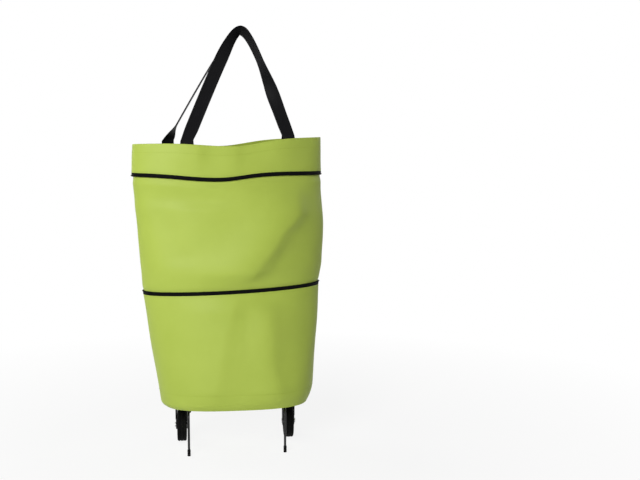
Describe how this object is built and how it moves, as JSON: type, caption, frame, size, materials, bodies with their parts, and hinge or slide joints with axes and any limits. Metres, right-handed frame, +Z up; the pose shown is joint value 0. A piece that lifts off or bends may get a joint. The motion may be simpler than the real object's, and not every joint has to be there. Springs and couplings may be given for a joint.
{
  "type": "folding wheeled shopping bag",
  "caption": "Soft lime green shopping bag on fold-away legs with wheels, with a zip-in middle section that collapses and black webbing handles.",
  "frame": {"origin": "on the floor, under the middle of the box round the standing bag", "axes": "+Z up, +X along the bag to the right seen from the front, -Y out of the front"},
  "size_m": [0.402, 0.2049, 0.8934],
  "materials": {
    "bag_fabric": "coated woven polyester, lime green, matt with a soft sheen",
    "base_fabric": "the same coated fabric, seen from below",
    "zip_tape": "black woven zip tape",
    "zip_coil": "black nylon coil",
    "zip_metal": "black lacquered slider",
    "webbing": "black ribbed polypropylene webbing",
    "board": "dark grey stiff sheet",
    "rivet_metal": "bright steel",
    "leg_wire": "black lacquered steel wire",
    "black_plastic": "black moulded plastic",
    "foot_rubber": "black soft cap",
    "tyre_rubber": "black tyre"
  },
  "bodies": {
    "bag": {"lower_body": "bag_fabric", "expansion_section": "bag_fabric", "lower_zip_tape": "zip_tape", "lower_zip_coil": "zip_coil", "zip_box": "black_plastic", "bottom_panel": "base_fabric", "base_board": "board", "base_rivets": "rivet_metal", "rivet_washers": "rivet_metal", "left_pivot_clips": "black_plastic", "right_pivot_clips": "black_plastic"},
    "top": {"top_band": "bag_fabric", "upper_zip_tape": "zip_tape", "upper_zip_coil": "zip_coil", "zip_pin": "black_plastic", "front_handle_tails": "webbing", "rear_handle_tails": "webbing"},
    "front_strap": {"front_handle": "webbing"},
    "rear_strap": {"rear_handle": "webbing"},
    "slider": {"zip_slider": "zip_metal"},
    "pull": {"zip_pull": "zip_metal"},
    "left_leg": {"left_leg_rod": "leg_wire", "left_foot_cap": "foot_rubber", "left_fork": "black_plastic", "left_axle": "rivet_metal", "left_axle_nut": "rivet_metal", "left_wheel_washers": "rivet_metal"},
    "left_wheel": {"left_hub": "black_plastic", "left_tyre": "tyre_rubber"},
    "right_leg": {"right_leg_rod": "leg_wire", "right_foot_cap": "foot_rubber", "right_fork": "black_plastic", "right_axle": "rivet_metal", "right_axle_nut": "rivet_metal", "right_wheel_washers": "rivet_metal"},
    "right_wheel": {"right_hub": "black_plastic", "right_tyre": "tyre_rubber"}
  },
  "joints": [
    {"name": "bag_collapse", "type": "slide", "parent": "bag", "child": "top", "axis": [0, 0, -1], "range_m": [0, 0.221], "deforming": ["expansion_section"]},
    {"name": "front_handle_swing", "type": "hinge", "parent": "top", "child": "front_strap", "pos_m": [0.01861, -0.04504, 0.66373], "axis": [0.9696, 0.238, 0.0573], "range_deg": [0, 135]},
    {"name": "rear_handle_swing", "type": "hinge", "parent": "top", "child": "rear_strap", "pos_m": [0.00105, 0.04434, 0.66505], "axis": [-0.9777, -0.2039, -0.0496], "range_deg": [0, 135]},
    {"name": "zip_run", "type": "hinge", "parent": "bag", "child": "slider", "pos_m": [0.05803, -0.33483, 0.35], "axis": [-0.021, -0.0033, 0.9998], "range_deg": [-4, 4]},
    {"name": "zip_pull_flip", "type": "hinge", "parent": "slider", "child": "pull", "pos_m": [-0.00912, 0.08914, 0.3524], "axis": [0.9875, 0.1564, 0.0212], "range_deg": [0, 175]},
    {"name": "left_leg_fold", "type": "hinge", "parent": "bag", "child": "left_leg", "pos_m": [-0.091, 0, 0.092], "axis": [0, -1, 0], "range_deg": [0, 90]},
    {"name": "right_leg_fold", "type": "hinge", "parent": "bag", "child": "right_leg", "pos_m": [0.111, 0, 0.092], "axis": [0, 1, 0], "range_deg": [0, 90]},
    {"name": "left_wheel_spin", "type": "hinge", "parent": "left_leg", "child": "left_wheel", "pos_m": [-0.1075, 0.058, 0.036], "axis": [1, 0, 0], "continuous": true},
    {"name": "right_wheel_spin", "type": "hinge", "parent": "right_leg", "child": "right_wheel", "pos_m": [0.1275, 0.058, 0.036], "axis": [1, 0, 0], "continuous": true}
  ]
}
